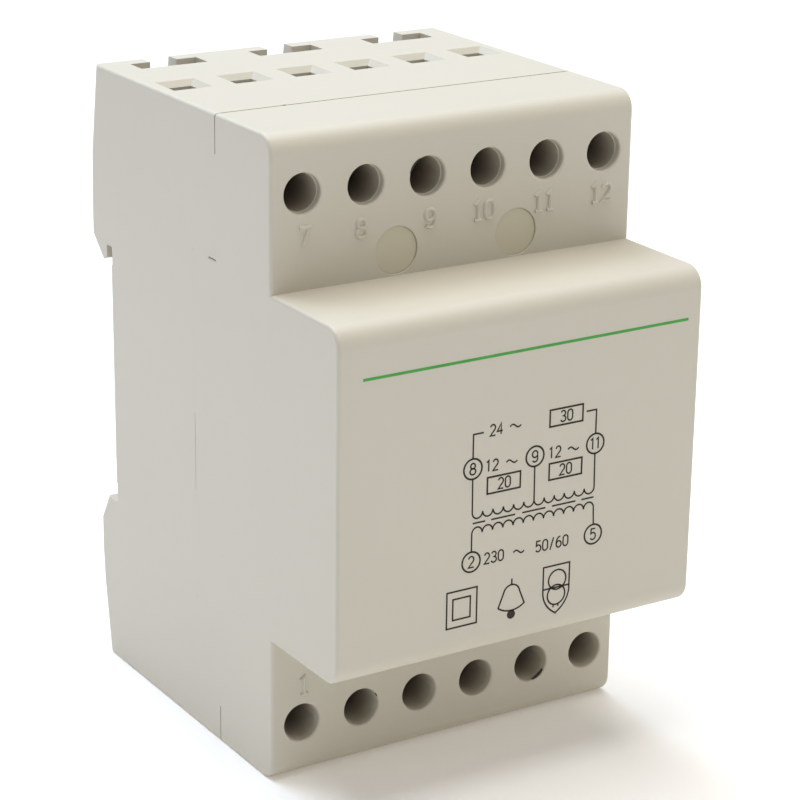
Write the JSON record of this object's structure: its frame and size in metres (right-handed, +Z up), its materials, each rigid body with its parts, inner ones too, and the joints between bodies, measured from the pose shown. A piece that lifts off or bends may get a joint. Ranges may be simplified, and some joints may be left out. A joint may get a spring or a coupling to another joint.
{
  "type": "doorbell transformer",
  "caption": "Rail-mounted bell transformer in a stepped two-part housing, with screw terminals behind wells, wire funnels, rear hooks and a sliding rail latch.",
  "frame": {"origin": "middle of the flat rear face that sits on the rail, centred between the upper hook and the lower latch", "axes": "+X to the right seen from the front, +Y out of the back into the rail, +Z up"},
  "size_m": [0.0524, 0.0647, 0.0834],
  "materials": {
    "housing": "fine spark-eroded moulded surface, satin",
    "plug": "satin moulded",
    "latch": "satin moulded",
    "zinc_steel": "bright zinc plate",
    "spring_steel": "drawn wire",
    "tag_brass": "tinned brass strip",
    "core_steel": "varnished silicon steel laminations",
    "former_nylon": "glass-filled, matt",
    "copper": "enamelled copper wire",
    "tape": "polyester tape",
    "cutout_case": "epoxy sealed case"
  },
  "bodies": {
    "housing": {"rear_base": "housing", "front_cover": "housing", "cover_screws": "zinc_steel", "latch_spring": "spring_steel", "core_e_stack": "core_steel", "core_i_stack": "core_steel", "coil_former": "former_nylon", "primary_winding": "copper", "secondary_winding": "copper", "primary_tape": "tape", "secondary_tape": "tape", "thermal_cutout": "cutout_case", "primary_leads": "copper", "secondary_leads": "copper", "blanking_plug_1": "plug", "blanking_plug_2": "plug", "blanking_plug_3": "plug", "blanking_plug_4": "plug", "contact_tag_2": "tag_brass", "contact_tag_5": "tag_brass", "contact_tag_8": "tag_brass", "contact_tag_9": "tag_brass", "contact_tag_11": "tag_brass"},
    "latch": {"rail_latch": "latch"},
    "screw_2": {"terminal_screw_2": "zinc_steel"},
    "cage_2": {"clamp_cage_2": "zinc_steel"},
    "screw_5": {"terminal_screw_5": "zinc_steel"},
    "cage_5": {"clamp_cage_5": "zinc_steel"},
    "screw_8": {"terminal_screw_8": "zinc_steel"},
    "cage_8": {"clamp_cage_8": "zinc_steel"},
    "screw_9": {"terminal_screw_9": "zinc_steel"},
    "cage_9": {"clamp_cage_9": "zinc_steel"},
    "screw_11": {"terminal_screw_11": "zinc_steel"},
    "cage_11": {"clamp_cage_11": "zinc_steel"}
  },
  "joints": [
    {"name": "latch_slide", "type": "slide", "parent": "housing", "child": "latch", "axis": [0, 0, -1], "range_m": [0, 0.0045], "stiffness_N_per_m": 1200, "springref_m": -0.004, "deforming": ["latch_spring"]},
    {"name": "screw_turn_2", "type": "hinge", "parent": "housing", "child": "screw_2", "pos_m": [-0.01312, -0.0248, -0.0344], "axis": [0, 1, 0], "range_deg": [0, 2377]},
    {"name": "cage_lift_2", "type": "slide", "parent": "housing", "child": "cage_2", "axis": [0, -1, 0], "range_m": [0, 0.0033]},
    {"name": "screw_turn_5", "type": "hinge", "parent": "housing", "child": "screw_5", "pos_m": [0.01312, -0.0248, -0.0344], "axis": [0, 1, 0], "range_deg": [0, 2377]},
    {"name": "cage_lift_5", "type": "slide", "parent": "housing", "child": "cage_5", "axis": [0, -1, 0], "range_m": [0, 0.0033]},
    {"name": "screw_turn_8", "type": "hinge", "parent": "housing", "child": "screw_8", "pos_m": [-0.01312, -0.0248, 0.0344], "axis": [0, 1, 0], "range_deg": [0, 2377]},
    {"name": "cage_lift_8", "type": "slide", "parent": "housing", "child": "cage_8", "axis": [0, -1, 0], "range_m": [0, 0.0033]},
    {"name": "screw_turn_9", "type": "hinge", "parent": "housing", "child": "screw_9", "pos_m": [-0.00438, -0.0248, 0.0344], "axis": [0, 1, 0], "range_deg": [0, 2377]},
    {"name": "cage_lift_9", "type": "slide", "parent": "housing", "child": "cage_9", "axis": [0, -1, 0], "range_m": [0, 0.0033]},
    {"name": "screw_turn_11", "type": "hinge", "parent": "housing", "child": "screw_11", "pos_m": [0.01312, -0.0248, 0.0344], "axis": [0, 1, 0], "range_deg": [0, 2377]},
    {"name": "cage_lift_11", "type": "slide", "parent": "housing", "child": "cage_11", "axis": [0, -1, 0], "range_m": [0, 0.0033]}
  ],
  "couplings": [
    {"joint": "screw_turn_2", "follows": "cage_lift_2", "rad_per_m": 12566},
    {"joint": "screw_turn_5", "follows": "cage_lift_5", "rad_per_m": 12566},
    {"joint": "screw_turn_8", "follows": "cage_lift_8", "rad_per_m": 12566},
    {"joint": "screw_turn_9", "follows": "cage_lift_9", "rad_per_m": 12566},
    {"joint": "screw_turn_11", "follows": "cage_lift_11", "rad_per_m": 12566}
  ]
}
